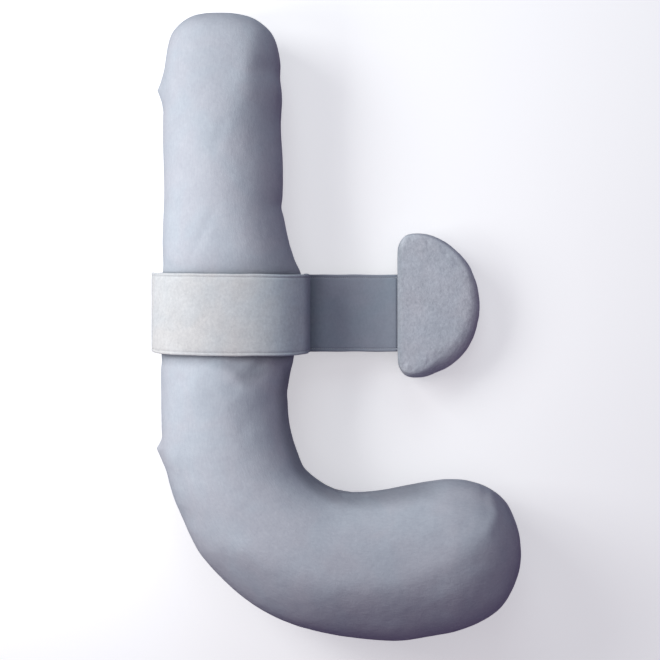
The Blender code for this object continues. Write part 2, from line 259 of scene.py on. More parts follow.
SAG_DEEPEST = 0.024
SAG_RUN = 0.048
SAG_GROWS_X = (-0.07, 0.06)
SAG_FADES_X = (0.080, 0.115)


def distance_to_line(x, y, line):
    """How far places in plan are from a line of several points."""
    nearest = np.full(np.shape(x), np.inf)
    for (start_x, start_y), (end_x, end_y) in zip(line[:-1], line[1:]):
        run_x, run_y = end_x - start_x, end_y - start_y
        share = (x - start_x) * run_x + (y - start_y) * run_y
        share = np.clip(share / (run_x**2 + run_y**2), 0, 1)
        away = np.hypot(x - start_x - share * run_x, y - start_y - share * run_y)
        nearest = np.minimum(nearest, away)
    return nearest


def fold_depth(x, y):
    """How deep the folds are at places in plan."""
    total = np.zeros_like(x)
    for fold in FOLDS:
        away = distance_to_line(x, y, fold.line) / fold.half_width
        total += fold.depth * np.exp(-(away**2))
    return total


def squeeze_depth(x, y):
    """The dip on both sides of the belt, and the sag below it on the inner side, where
    the belt pulls hardest: steep beside the belt and gentle further down the leg."""
    off = off_belt_on_top(y)
    dip = SQUEEZE_DEPTH * np.exp(-np.maximum(0, off) / SQUEEZE_RUN)
    pulled = smooth_step(*SAG_GROWS_X, x) * (y < BELT_CENTRE_Y)
    pulled *= 1 - smooth_step(*SAG_FADES_X, x)
    further = np.maximum(0, off - SAG_DEEPEST) / SAG_RUN
    sag = smooth_step(SAG_STARTS, SAG_DEEPEST, off) * np.exp(-(further**2))
    return dip + SAG_DEPTH * pulled * sag


def pucker_reach(y, height_off_seam):
    """How far the puckers push the outer side out."""
    total = np.zeros(np.broadcast(y, height_off_seam).shape)
    for pucker in PUCKERS:
        run = np.where(y > pucker.y, pucker.above, pucker.below)
        along = np.maximum(0, 1 - np.abs(y - pucker.y) / run) ** PUCKER_SHARPNESS
        total += pucker.reach * along * np.exp(-((height_off_seam / pucker.height) ** 2))
    return total


# %% [markdown]
# ## Unevenness
#
# Fibre filling is lumpy and brushed jersey is never quite smooth. Both are noise, but at
# very different scales: lumps as wide as a hand, and crumples as wide as a finger. The
# noise is read from each point's place, so it is the same on every run.

# %% Noise read at many points
def noise_at(points, scale, stretch=(1, 1, 1)):
    """Smooth noise from about -1 to 1 at each point, with lumps about scale across."""
    places = points.reshape(-1, 3) / (scale * np.array(stretch))
    values = np.array([noise.noise(Vector(place)) for place in places])
    return values.reshape(points.shape[:-1])


# %% The smooth stuffed shape as a grid of points
PILLOW_STEP = 0.0053
RING_POINTS = 184
BELT_LIFT_FADES_X = (0.20, 0.24)
BELT_LIFT_FADES_OFF_BELT = (0.004, 0.045)


def axis_height(y):
    """Height of the pillow's middle: low along the leg, higher in the thick foot."""
    share = smooth_step(*BEND_BETWEEN_Y, y)
    return FOOT_AXIS_HEIGHT + (LEG_AXIS_HEIGHT - FOOT_AXIS_HEIGHT) * share


def pillow_floor(x, y):
    """The surface or, where the belt passes under the leg, the belt."""
    on_leg = 1 - smooth_step(*BELT_LIFT_FADES_X, x)
    near_belt = 1 - smooth_step(*BELT_LIFT_FADES_OFF_BELT, off_belt(y))
    return (BELT_THICKNESS + BELT_CLEARANCE) * on_leg * near_belt


def stuffed_shape():
    """The pillow's points, one row for each section and one column round it, before it
    settles, how far each point is above the seam, and where it is across the section,
    from -1 on the outer side of the J to 1 on the inner side."""
    table = [tuple(row) for row in PILLOW_SECTIONS]
    before, after = [(*row[2:4], *row[0:2], -row[4]) for row in (table[1], table[-2])]
    rows = smooth_rows([before, *table, after], PILLOW_STEP)[1:-1]
    angles = 2 * np.pi * np.arange(RING_POINTS) / RING_POINTS
    outer, inner, half_height = rows[:, 0:2], rows[:, 2:4], rows[:, 4:5]
    span = inner - outer
    half_span = np.linalg.norm(span, axis=1, keepdims=True) / 2
    across = span / (2 * half_span)
    middle = (outer + inner) / 2
    boxier = TOP_END_BOXIER * smooth_step(*TOP_END_BETWEEN_Y, middle[:, 1:2])
    power = 2 / (PILLOW_ROUNDNESS + boxier)
    side = half_span * signed_power(np.cos(angles), power)
    up = half_height * signed_power(np.sin(angles), power)
    side -= np.where(side < 0, pucker_reach(outer[:, 1:2], up), 0)
    x = middle[:, 0:1] + across[:, 0:1] * side
    y = middle[:, 1:2] + across[:, 1:2] * side
    points = np.stack([x, y, axis_height(middle[:, 1:2]) + up], axis=2)
    return points, up, side / half_span


def settled(grid):
    """The same points, pressed flat where the pillow lies on something."""
    grid = grid.copy()
    grid[..., 2] = settle(grid[..., 2], pillow_floor(grid[..., 0], grid[..., 1]))
    return grid


def grid_normals(grid):
    """Outward directions of a grid whose rows are closed rings."""
    along = np.gradient(grid, axis=0)
    around = np.roll(grid, -1, axis=1) - np.roll(grid, 1, axis=1)
    normals = np.cross(around, along)
    return normals / np.maximum(1e-9, np.linalg.norm(normals, axis=2, keepdims=True))


# %% Turning a grid into a closed mesh
def placed(name, data):
    """A new object of a mesh, a lamp or a camera, in the scene."""
    made = bpy.data.objects.new(name, data)
    bpy.context.scene.collection.objects.link(made)
    return made


def tube_mesh(name, grid, poles):
    """A closed mesh from a grid of rings, with a pole at each end."""
    count, ring = grid.shape[:2]
    points = np.vstack([grid.reshape(-1, 3), np.array(poles)]) - ORIGIN
    cells = np.arange(count * ring).reshape(count, ring)
    here, beside = cells[:-1], np.roll(cells[:-1], -1, axis=1)
    further, across = cells[1:], np.roll(cells[1:], -1, axis=1)
    faces = np.stack([here, further, across, beside], axis=2).reshape(-1, 4).tolist()
    first, last = count * ring, count * ring + 1
    for i in range(ring):
        j = (i + 1) % ring
        faces.append((i, j, first))
        faces.append((int(cells[-1, j]), int(cells[-1, i]), last))
    mesh = bpy.data.meshes.new(name)
    mesh.from_pydata(points.tolist(), [], faces)
    bm = bmesh.new()
    bm.from_mesh(mesh)
    bmesh.ops.recalc_face_normals(bm, faces=bm.faces)
    bm.to_mesh(mesh)
    bm.free()
    mesh.shade_smooth()
    return placed(name, mesh)


def add_cloth_map(piece, grid):
    """A UV map in metres on a tube: u runs along it and v runs round it. The map is cut
    along the first column, where the cloth has its seam."""
    count, ring = grid.shape[:2]
    centres = grid.mean(axis=1)
    steps = np.linalg.norm(np.diff(centres, axis=0), axis=1)
    along = np.concatenate([[0], np.cumsum(steps)])
    widest = grid[count // 2]
    girth = np.linalg.norm(np.roll(widest, -1, axis=0) - widest, axis=1).sum()
    mesh = piece.data
    corners = np.empty(len(mesh.loops), int)
    mesh.loops.foreach_get("vertex_index", corners)
    totals = np.empty(len(mesh.polygons), int)
    mesh.polygons.foreach_get("loop_total", totals)
    face = np.repeat(np.arange(len(totals)), totals)
    row, column = np.divmod(corners, ring)
    at_end = np.zeros(len(totals), bool)
    np.logical_or.at(at_end, face, (column == ring - 1) & (row < count))
    turn = column + ring * (at_end[face] & (column == 0))
    u = along[np.minimum(row, count - 1)]
    u[corners == count * ring] = 0
    layer = mesh.uv_layers.new(name="cloth_map")
    layer.data.foreach_set("uv", np.column_stack([u, turn * girth / ring]).ravel())


# %% [markdown]
# ## Blowing the cloth up
#
# A real cover takes its shape from the push of the filling against the pull of the
# cloth. Blender's cloth simulation does the same: a coarse copy of the shape is held
# where the belt squeezes it and where it lies on the surface, a small pressure swells
# the rest, and the cloth finds its own slack and tight places. Only the movement is
# kept, less the even swelling, so that the pillow keeps its size.

# %% The cloth simulation
CLOTH_FRAMES = 20
CLOTH_QUALITY = 6
CLOTH_MASS = 0.2
CLOTH_PRESSURE = 4.0
PILLOW_SPARE_CLOTH = 0.004
PILLOW_MOST_MOVE = 0.003
PILLOW_LIES_WITHIN = 0.002
PILLOW_HELD_OFF_BELT = (-0.012, 0.004)


def cloth_shift(piece, held, spare_cloth):
    """How far each point of a piece moves when its cloth is blown up. Points with a
    held weight of 1 stay where they are. The cloth is cut larger by spare_cloth."""
    start = np.array([vertex.co for vertex in piece.data.vertices])
    group = piece.vertex_groups.new(name="held")
    for index in np.flatnonzero(held > 0):
        group.add([int(index)], float(held[index]), "REPLACE")
    cloth = piece.modifiers.new("Cloth", "CLOTH")
    cloth.settings.quality = CLOTH_QUALITY
    cloth.settings.mass = CLOTH_MASS
    cloth.settings.vertex_group_mass = "held"
    cloth.settings.use_pressure = True
    cloth.settings.uniform_pressure_force = CLOTH_PRESSURE
    cloth.settings.shrink_min = -spare_cloth
    cloth.settings.effector_weights.gravity = 0
    cloth.collision_settings.use_collision = False
    scene = bpy.context.scene
    for number in range(1, CLOTH_FRAMES + 1):
        scene.frame_set(number)
    blown = piece.evaluated_get(bpy.context.evaluated_depsgraph_get())
    shift = np.array([vertex.co for vertex in blown.data.vertices]) - start
    piece.modifiers.remove(cloth)
    piece.vertex_groups.remove(group)
    scene.frame_set(1)
    return shift


def kept_size(shift, normals, free, most):
    """The movement without its even swelling, and no point moved more than most."""
    swelling = np.median((shift * normals).sum(axis=-1)[free])
    shift = shift - normals * swelling * free[..., None]
    length = np.maximum(1e-9, np.linalg.norm(shift, axis=-1, keepdims=True))
    return shift * np.minimum(1, most / length)


def softened(field):
    """A field on a grid of rings, averaged with its neighbours."""
    field = (np.roll(field, 1, axis=1) + 2 * field + np.roll(field, -1, axis=1)) / 4
    inner = (field[:-2] + 2 * field[1:-1] + field[2:]) / 4
    return np.concatenate([field[:1], inner, field[-1:]])


def pillow_slack(grid, poles):
    """The movement that the simulation finds, for every point of the grid. It is made on
    every second row and column."""
    count, ring = grid.shape[:2]
    rows = np.unique(np.append(np.arange(0, count, 2), count - 1))
    coarse = grid[rows][:, ::2]
    trial = tube_mesh("cloth_trial", coarse, poles)
    floor = pillow_floor(coarse[..., 0], coarse[..., 1])
    lying = coarse[..., 2] < floor + PILLOW_LIES_WITHIN
    free = smooth_step(*PILLOW_HELD_OFF_BELT, off_belt(coarse[..., 1]))
    held = np.maximum(lying, 1 - free)
    shift = cloth_shift(trial, np.append(held.ravel(), (0, 0)), PILLOW_SPARE_CLOTH)
    shift = shift[:-2].reshape(coarse.shape)
    bpy.data.objects.remove(trial)
    normals = grid_normals(coarse)
    shift = kept_size(shift, normals, held < 0.5, PILLOW_MOST_MOVE)
    shift[held > 0.5] = 0
    shift = softened(shift)
    swell = (shift * normals).sum(axis=-1)
    print("the cloth moves by", round(1000 * float(np.abs(swell).mean()), 2), "mm on average")
    after = np.searchsorted(rows, np.arange(count))
    before = np.maximum(0, after - (rows[after] != np.arange(count)))
    filled = (shift[before] + shift[after]) / 2
    fine = np.empty(grid.shape)
    fine[:, ::2] = filled
    fine[:, 1::2] = (filled + np.roll(filled, -1, axis=1)) / 2
    return fine


# %% The pillow with its folds, seam and crumples
LUMP_SCALE = 0.11
LUMP_HEIGHT = 0.0016
CRUMPLE_SCALE = 0.022
CRUMPLE_HEIGHT = 0.00035
SEAM_DEPTH = 0.0022
SEAM_WIDTH = 0.0045
SEAM_PUFF = 0.0010
SEAM_PUFF_AT = 0.016
SEAM_PUFF_WIDTH = 0.010
RELIEF_GROWS_OFF_BELT = (0.0, 0.02)
FOLDS_GROW_ABOVE_SEAM = (-0.01, 0.03)
SQUEEZE_GROWS_ABOVE_SEAM = (0.015, 0.060)


def pillow_relief(grid, up):
    """How far each point stands out from, or lies below, the smooth shape."""
    x, y = grid[..., 0], grid[..., 1]
    upper = smooth_step(*FOLDS_GROW_ABOVE_SEAM, up)
    on_top = smooth_step(*SQUEEZE_GROWS_ABOVE_SEAM, up)
    free = smooth_step(*RELIEF_GROWS_OFF_BELT, off_belt(y))
    off_seam = np.abs(up)
    relief = -fold_depth(x, y) * upper - squeeze_depth(x, y) * on_top
    relief -= SEAM_DEPTH * np.exp(-((off_seam / SEAM_WIDTH) ** 2)) * free
    relief += SEAM_PUFF * np.exp(-(((off_seam - SEAM_PUFF_AT) / SEAM_PUFF_WIDTH) ** 2)) * free
    relief += free * LUMP_HEIGHT * noise_at(grid, LUMP_SCALE)
    relief += free * CRUMPLE_HEIGHT * noise_at(grid, CRUMPLE_SCALE)
    return relief


pillow_points, height_off_seam, share_across = stuffed_shape()
pillow_poles = []
for end in (PILLOW_SECTIONS[0], PILLOW_SECTIONS[-1]):
    pillow_poles.append((end.outer_x, end.outer_y, float(axis_height(end.outer_y))))
relief = pillow_relief(pillow_points, height_off_seam)
pillow_points = settled(pillow_points)
pillow_points += pillow_slack(pillow_points, pillow_poles)
pillow_points += grid_normals(pillow_points) * relief[..., None]
pillow_points = settled(pillow_points)
pillow = tube_mesh("j_pillow_cloth", pillow_points, pillow_poles)
add_cloth_map(pillow, pillow_points)
print("the pillow has", len(pillow.data.polygons), "faces")

# %% [markdown]
# ## Painted shade
#
# Some shade is painted into the cloth's colour rather than cast by the lamps: beside the
# belt, in a pointed patch below it, and round the inside of the bend. Deeper dips could
# darken the cloth there, but they put notches into the outline. So each point of the mesh
# carries how much painted shade it gets, and the finish reads that.

# %% Where shade is painted on the pillow
# Painted shade: a band beside the belt, a patch below it, and the inner side of the bend
PAINTED_SHADE_BAND = 0.009
PAINTED_SHADE_BAND_GROWS = 0.022
PAINTED_SHADE_BAND_GROWS_X = (0.0, 0.10)
PAINTED_SHADE_LEAST = 0.013
PAINTED_SHADE_SPREAD = 115
PAINTED_SHADE_STARTS_X = -0.09
PAINTED_SHADE_TIP = (0.050, 0.060)
PAINTED_SHADE_RISE = 0.55
PAINTED_SHADE_EDGE = 0.015
PAINTED_SHADE_FADES_X = (0.075, 0.120)
BEND_SHADE_FROM_AND_TO = (0.82, 0.98)
BEND_SHADE_BELOW_Y = (0.54, 0.59)
BEND_SHADE_BEFORE_X = (0.38, 0.47)


def shade_painted_by_belt(x, y):
    """How much shade is painted beside the belt, from 0 to 1: in a band beside the belt,
    which is wider above it on the inner side, and in a patch below it that widens more and
    more towards its tip."""
    off = np.maximum(0, off_belt_on_top(y))
    wider = PAINTED_SHADE_BAND_GROWS * smooth_step(*PAINTED_SHADE_BAND_GROWS_X, x) * (y > BELT_CENTRE_Y)
    band = np.exp(-off / (PAINTED_SHADE_BAND + wider))
    reach = PAINTED_SHADE_LEAST + PAINTED_SHADE_SPREAD * np.maximum(0, x - PAINTED_SHADE_STARTS_X) ** 4
    reach = np.minimum(reach, PAINTED_SHADE_TIP[1] - PAINTED_SHADE_RISE * (x - PAINTED_SHADE_TIP[0]))
    patch = 1 - smooth_step(-PAINTED_SHADE_EDGE, PAINTED_SHADE_EDGE, off - reach)
    patch *= y < BELT_CENTRE_Y
    patch *= 1 - smooth_step(*PAINTED_SHADE_FADES_X, x)
    return np.maximum(band, patch)


def shade_painted_in_bend(x, y):
    """How much shade is painted on the inner side, from the belt
    round the bend, from 0 to 1."""
    bend_shade = smooth_step(*BEND_SHADE_FROM_AND_TO, share_across)
    bend_shade = bend_shade * (1 - smooth_step(*BEND_SHADE_BELOW_Y, y))
    return bend_shade * (1 - smooth_step(*BEND_SHADE_BEFORE_X, x))


def add_painted_shade(piece, painted_shade):
    """Keeps how much painted shade each point of a piece gets, for its finish to read."""
    layer = piece.data.attributes.new("painted_shade_amount", "FLOAT", "POINT")
    layer.data.foreach_set("value", painted_shade)


in_plan = pillow_points[..., 0], pillow_points[..., 1]
painted_shade = np.maximum(shade_painted_by_belt(*in_plan), shade_painted_in_bend(*in_plan))
add_painted_shade(pillow, np.append(painted_shade.ravel(), (0, 0)))

# %% [markdown]
# ## The belt
#
# The belt is one strip of double cloth, rolled and stitched at its edges. Its section,
# seen end on, is a long flat loop with a thicker roll at each end and a groove where the
# stitching pulls it in. The section is drawn along the belt's path: from the wedge over
# the strap, round the leg, and back.

# %% The belt's path
BELT_STEP = 0.0055
LOOP_ROWS = 90
STRAP_ROWS = 12
CORNER_ROWS = 6
# The end of the strap, and the wedge's straight side that it comes to
STRAP_END_HEIGHT = 0.0495
WEDGE_THICK = 0.0990
WEDGE_LEAN = 0.075


def belt_loop_point(angle):
    """A point on the outer face of the belt's loop, in a plane across the leg."""
    side = BELT_HALF_SPAN * signed_power(np.cos(angle), 2 / PILLOW_ROUNDNESS)
    up = BELT_CROWN * signed_power(np.sin(angle), 2 / PILLOW_ROUNDNESS)
    return np.array((BELT_CENTRE_X + side, settle(LEG_AXIS_HEIGHT + up, 0.0)))


def belt_path():
    """Places across and up along the strip's outer face, and how far round the loop
    each one is, from -1 under the leg to 1 on top of it."""
    half_strap = BELT_THICKNESS + BELT_LAYER_GAP / 2
    drop = (LEG_AXIS_HEIGHT - BELT_PINCH_HEIGHT) / BELT_CROWN
    pinch = -math.asin(drop ** (PILLOW_ROUNDNESS / 2))
    parting = math.asin(half_strap / BELT_CROWN)
    turn = parting + BELT_CORNER / BELT_CROWN
    corner, corner_low = belt_loop_point(pinch + parting), belt_loop_point(pinch - parting)
    share = np.linspace(0, 1, STRAP_ROWS)[:, None]
    level = STRAP_END_HEIGHT + (BELT_PINCH_HEIGHT - STRAP_END_HEIGHT) * share**BELT_DROOP
    wall_x = WEDGE_FACE_X + WEDGE_LEAN * (WEDGE_THICK - STRAP_END_HEIGHT)
    end_x = wall_x - BELT_END_GAP
    across = end_x + (corner[0] + BELT_CORNER - end_x) * share
    upper = np.hstack([across, level + half_strap])
    lower = np.hstack([across, level - half_strap])
    t = np.linspace(0, 1, CORNER_ROWS)[1:-1, None]

    def rounded(start, middle, end):
        return start * (1 - t) ** 2 + middle * 2 * t * (1 - t) + end * t**2

    angles = pinch + np.linspace(turn, 2 * math.pi - turn, LOOP_ROWS)
    loop = np.array([belt_loop_point(angle) for angle in angles])
    over = rounded(upper[-1], corner, loop[0])
    under = rounded(loop[-1], corner_low, lower[-1])
    path = np.vstack([upper, over, loop, under, lower[::-1]])
    around = np.zeros(len(path))
    first = len(upper) + len(over)
    around[first : first + len(loop)] = np.sin(angles - pinch)
    return np.column_stack([path, around])


# %% The belt's section and its loft
BELT_PROFILE = [
    # How far in from the edge, and how far the face is above the middle of the cloth
    (0.0000, 0.0000),
    (0.0003, 0.0012),
    (0.0011, 0.0021),
    (0.0024, 0.0026),
    (0.0040, 0.0026),
    (0.0052, 0.0021),
    (0.0060, 0.0013),
    (0.0068, 0.0012),
    (0.0078, 0.0019),
    (0.0100, 0.0023),
    (0.0140, 0.0024),
]
BELT_FACE_CELLS = 34
BELT_EDGE_WAVE = 0.0009
BELT_WAVE_SCALE = 0.05
BELT_RIPPLE = 0.00018
BELT_RIPPLE_SCALE = 0.009
BELT_RIPPLE_STRETCH = (1.0, 2.5, 1.0)
# Where the painted shade on the strap is darkest, and how far it runs
STRAP_PAINTED_SHADE_AT = 0.182
STRAP_PAINTED_SHADE_RUN = 0.024


def belt_section():
    """The loop of points round the belt's section: how far from the middle of its
    width, and how far above the middle of its thickness."""
    edge = [(BELT_WIDTH / 2 - from_edge, rise) for from_edge, rise in BELT_PROFILE]
    reach = edge[-1][0]
    field = [(x, edge[-1][1]) for x in np.linspace(reach, -reach, BELT_FACE_CELLS)[1:-1]]
    face = edge + field + [(-x, rise) for x, rise in reversed(edge)]
    back = [(x, -rise) for x, rise in reversed(face[1:-1])]
    return np.array(face + back)


def belt_grid():
    """The belt's points: one row for each place on its path."""
    path = belt_path()
    path = smooth_rows([2 * path[0] - path[1], *path, 2 * path[-1] - path[-2]], BELT_STEP)
    along = np.gradient(path[:, 0:2], axis=0)
    along /= np.linalg.norm(along, axis=1, keepdims=True)
    outward = np.column_stack([along[:, 1], -along[:, 0]])
    middle = path[:, 0:2] - outward * BELT_THICKNESS / 2
    section = belt_section()
    width, rise = section[:, 0], section[:, 1]
    x = middle[:, 0:1] + outward[:, 0:1] * rise
    z = middle[:, 1:2] + outward[:, 1:2] * rise
    y = BELT_CENTRE_Y - BELT_SLANT * path[:, 2:3] + np.broadcast_to(width, x.shape)
    grid = np.stack([x, y, z], axis=2)
    middle_line = np.stack([x, np.zeros_like(y), z], axis=2)
    wave = BELT_EDGE_WAVE * noise_at(middle_line, BELT_WAVE_SCALE)
    y += wave * (np.abs(width) / (BELT_WIDTH / 2)) ** 4
    ripple = BELT_RIPPLE * noise_at(grid, BELT_RIPPLE_SCALE, BELT_RIPPLE_STRETCH)
    grid[..., 0] += outward[:, 0:1] * ripple
    grid[..., 2] += outward[:, 1:2] * ripple
    grid[..., 1] = y
    return grid


def end_poles(grid):
    """The middles of a grid's first and last rings."""
    return [tuple(ring.mean(axis=0)) for ring in (grid[0], grid[-1])]


belt_points = belt_grid()
belt = tube_mesh("belt_cloth", belt_points, end_poles(belt_points))
# Painted shade on the strap just past the loop, where the leg shades it
past_loop = (belt_points[..., 0] - STRAP_PAINTED_SHADE_AT) / STRAP_PAINTED_SHADE_RUN
painted_shade = np.exp(-(past_loop**2)) * (belt_points[..., 2] < BELT_PINCH_HEIGHT + BELT_CORNER)
add_painted_shade(belt, np.append(painted_shade.ravel(), (0, 0)))

# %% [markdown]
# ## The belt's stitches
#
# A seam is the same small stitch over and over along a line, which is what Geometry Nodes
# are for. The tree lays a curve through the groove of each hem, cuts it into even steps
# and sets a short, thick thread at every step, turned along the curve. The thread's sizes
# are inputs of the tree, so they can be changed in one place.

# %% The lines that the stitches follow
STITCH_LIFT = 0.0004
HEM_GROOVE = 0.0064
HEM_GROOVE_HALF_WIDTH = 0.0005


def hem_line(edge):
    """The bottom of a hem's groove on the belt's outer face, edge 1 or -1."""
    width, rise = belt_section().T
    off_groove = np.abs(edge * width - (BELT_WIDTH / 2 - HEM_GROOVE))
    in_groove = off_groove < HEM_GROOVE_HALF_WIDTH
    outer = belt_points[:, in_groove & (rise > 0)].mean(axis=1)
    inner = belt_points[:, in_groove & (rise < 0)].mean(axis=1)
    outward = outer - inner
    outward /= np.linalg.norm(outward, axis=1, keepdims=True)
    return outer + outward * STITCH_LIFT - ORIGIN


def line_mesh(name, lines):
    """Open lines of points as one mesh of edges."""
    mesh = bpy.data.meshes.new(name)
    points, edges = [], []
    for line in lines:
        first = len(points)
        points += line.tolist()
        edges += [(first + i, first + i + 1) for i in range(len(line) - 1)]
    mesh.from_pydata(points, edges, [])
    return placed(name, mesh)


# %% A tree that sews along lines
STITCH_SIZES = {"Step": 0.0045, "Stitch Length": 0.0034, "Thread Thickness": 0.0009}


def sewing_tree(thread):
    """A Geometry Nodes tree that turns a mesh of lines into stitches of one material."""
    tree = bpy.data.node_groups.new("sew_along_lines", "GeometryNodeTree")
    sockets = tree.interface
    sockets.new_socket("Geometry", in_out="INPUT", socket_type="NodeSocketGeometry")
    for name in STITCH_SIZES:
        sockets.new_socket(name, in_out="INPUT", socket_type="NodeSocketFloat")
    sockets.new_socket("Geometry", in_out="OUTPUT", socket_type="NodeSocketGeometry")

    def node(kind, **settings):
        made = tree.nodes.new(kind)
        for name, value in settings.items():
            setattr(made, name, value)
        return made

    given, result = node("NodeGroupInput"), node("NodeGroupOutput")
    curve = node("GeometryNodeMeshToCurve")
    even = node("GeometryNodeResampleCurve", mode="LENGTH")
    tangent = node("GeometryNodeInputTangent")
    turn = node("FunctionNodeAlignRotationToVector", axis="Z")
    stitch = node("GeometryNodeMeshUVSphere")
    stitch.inputs["Segments"].default_value = 6
    stitch.inputs["Rings"].default_value = 4
    stitch.inputs["Radius"].default_value = 0.5
    size = node("ShaderNodeCombineXYZ")
    place = node("GeometryNodeInstanceOnPoints")
    realize = node("GeometryNodeRealizeInstances")
    finish = node("GeometryNodeSetMaterial")
    finish.inputs["Material"].default_value = thread
    for source, output, target, socket in (
        (given, "Geometry", curve, "Mesh"),
        (curve, "Curve", even, "Curve"),
        (given, "Step", even, "Length"),
        (tangent, "Tangent", turn, "Vector"),
        (given, "Thread Thickness", size, "X"),
        (given, "Thread Thickness", size, "Y"),
        (given, "Stitch Length", size, "Z"),
        (even, "Curve", place, "Points"),
        (stitch, "Mesh", place, "Instance"),
        (turn, "Rotation", place, "Rotation"),
        (size, "Vector", place, "Scale"),
        (place, "Instances", realize, "Geometry"),
        (realize, "Geometry", finish, "Geometry"),
        (finish, "Geometry", result, "Geometry"),
    ):
        tree.links.new(source.outputs[output], target.inputs[socket])
    return tree


# %% Sew the hems
def finish_modifiers(piece):
    """Makes what the modifiers do part of the mesh."""
    shown = piece.evaluated_get(bpy.context.evaluated_depsgraph_get())
    mesh = bpy.data.meshes.new_from_object(shown)
    piece.modifiers.clear()
    piece.data = mesh


def sew(name, lines, thread):
    """Stitches along lines, as a plain mesh."""
    piece = line_mesh(name, lines)
    tree = sewing_tree(thread)
    sewing = piece.modifiers.new("Sewing", "NODES")
    sewing.node_group = tree
    for item in tree.interface.items_tree:
        if item.name in STITCH_SIZES:
            sewing[item.identifier] = STITCH_SIZES[item.name]
    finish_modifiers(piece)
    print(name, "has", len(piece.data.polygons), "faces")
    return piece


thread = bpy.data.materials.new("belt_thread")
stitches = sew("belt_stitches", [hem_line(1), hem_line(-1)], thread)

# %% [markdown]
# ## The half-moon wedge
#
# The wedge is a padded block: thick along its straight side and thin at its curved rim.
# Its face is nearly flat, and the rim rolls over more widely on the right than on the
# left. Each outline point therefore carries the width of its own roll.

# %% The wedge's outline
WEDGE_OUTLINE = [
    # x, y and the width of the roll, down the straight side from its top corner
    *[(0.3625, y, 0.003) for y in (0.790, 0.740, 0.690, 0.640)],
    (0.3629, 0.590, 0.003),
    (0.3668, 0.557, 0.006),
    # The curved rim, back up to the top corner
    (0.3810, 0.5405, 0.012),
    (0.4045, 0.536, 0.018),
    (0.4260, 0.539, 0.028),
    (0.4510, 0.548, 0.042),
    (0.4860, 0.565, 0.050),
    (0.5140, 0.592, 0.048),
    (0.5330, 0.630, 0.038),
    (0.5425, 0.669, 0.032),
    (0.5430, 0.703, 0.029),
    (0.5370, 0.737, 0.025),
    (0.5220, 0.772, 0.020),
    (0.4985, 0.801, 0.015),
    (0.4680, 0.824, 0.012),
    (0.4350, 0.839, 0.011),
    (0.4060, 0.843, 0.010),
    (0.3800, 0.8375, 0.009),
    (0.3658, 0.820, 0.008),
]
WEDGE_CENTRE = np.array((0.445, 0.690))
WEDGE_THIN = 0.0770
WEDGE_FAR_X = 0.5436
WEDGE_STEP = 0.0045
WEDGE_ROLL_ROWS = 14
WEDGE_FACE_ROWS = 12
SHOULDER_SOFTNESS = 2.7
WEDGE_LEAN_RUN = 0.040


def wedge_thickness(x):
    """Thick at the straight side, thinner at the curved rim."""
    share = (x - WEDGE_FACE_X) / (WEDGE_FAR_X - WEDGE_FACE_X)
    return WEDGE_THICK + (WEDGE_THIN - WEDGE_THICK) * share


def wedge_grid():
    """The wedge's points: rings from the middle of the underside, round the rim, to the
    middle of the face."""
    closed = [WEDGE_OUTLINE[-1], *WEDGE_OUTLINE, *WEDGE_OUTLINE[:2]]
    outline = smooth_rows(closed, WEDGE_STEP)[:-1]
    outline[:, 0] = np.maximum(outline[:, 0], WEDGE_FACE_X)
    spoke = outline[:, 0:2] - WEDGE_CENTRE
    reach = np.linalg.norm(spoke, axis=1)
    roll = outline[:, 2]
    angles = np.linspace(0, math.pi / 2, WEDGE_ROLL_ROWS)
    drawn_in = np.linspace(1, 0, WEDGE_FACE_ROWS + 1)[1:-1]
    steps = [(roll * (1 - math.cos(angle)), angle) for angle in angles]
    steps += [(reach - (reach - roll) * share, math.pi / 2) for share in drawn_in]
    rings = []
    for inset, angle in steps:
        share = (1 - inset / reach)[:, None]
        rise = (1 - math.cos(angle) ** SHOULDER_SOFTNESS) ** (1 / 2)
        plan = WEDGE_CENTRE + spoke * share
        rings.append(np.column_stack([plan, np.full(len(roll), rise)]))
    upper = np.array(rings)
    grid = np.concatenate([upper[:0:-1], upper])
    side = np.concatenate([-np.ones(len(upper) - 1), np.ones(len(upper))])[:, None]
    half = wedge_thickness(grid[..., 0]) / 2
    height = half + side * half * grid[..., 2]
    straight = 1 - smooth_step(WEDGE_FACE_X, WEDGE_FACE_X + WEDGE_LEAN_RUN, grid[..., 0])
    leaning = grid[..., 0] + WEDGE_LEAN * (2 * half - height) * straight
    return np.stack([leaning, grid[..., 1], height], axis=2)


wedge_points = wedge_grid()
wedge = tube_mesh("wedge_cloth", wedge_points, end_poles(wedge_points))

# %% The wedge's cloth: even cells, blown up, then creased
WEDGE_CELL = 0.0038
WEDGE_SPARE_CLOTH = 0.003
WEDGE_MOST_MOVE = 0.0012
WEDGE_SEAM_HEIGHT = 0.050
WRINKLE_SCALE = 0.011
WRINKLE_HEIGHT = 0.00032
DIMPLE_SCALE = 0.050
DIMPLE_HEIGHT = 0.0005
# Painted shade along the wedge's straight side
WEDGE_PAINTED_SHADE = 2.4
WEDGE_PAINTED_SHADE_BAND = 0.0055
WEDGE_LIES_BELOW = 0.003
WEDGE_HELD_FROM_FACE = 0.006
CREASES_GROW_ABOVE_FLOOR = (0.002, 0.010)
CREASES_GROW_FROM_FACE = (0.0, 0.012)


def vertex_arrays(piece):
    """The places and the outward directions of a piece's points."""
    places = np.array([vertex.co for vertex in piece.data.vertices])
    normals = np.array([vertex.normal for vertex in piece.data.vertices])
    return places, normals


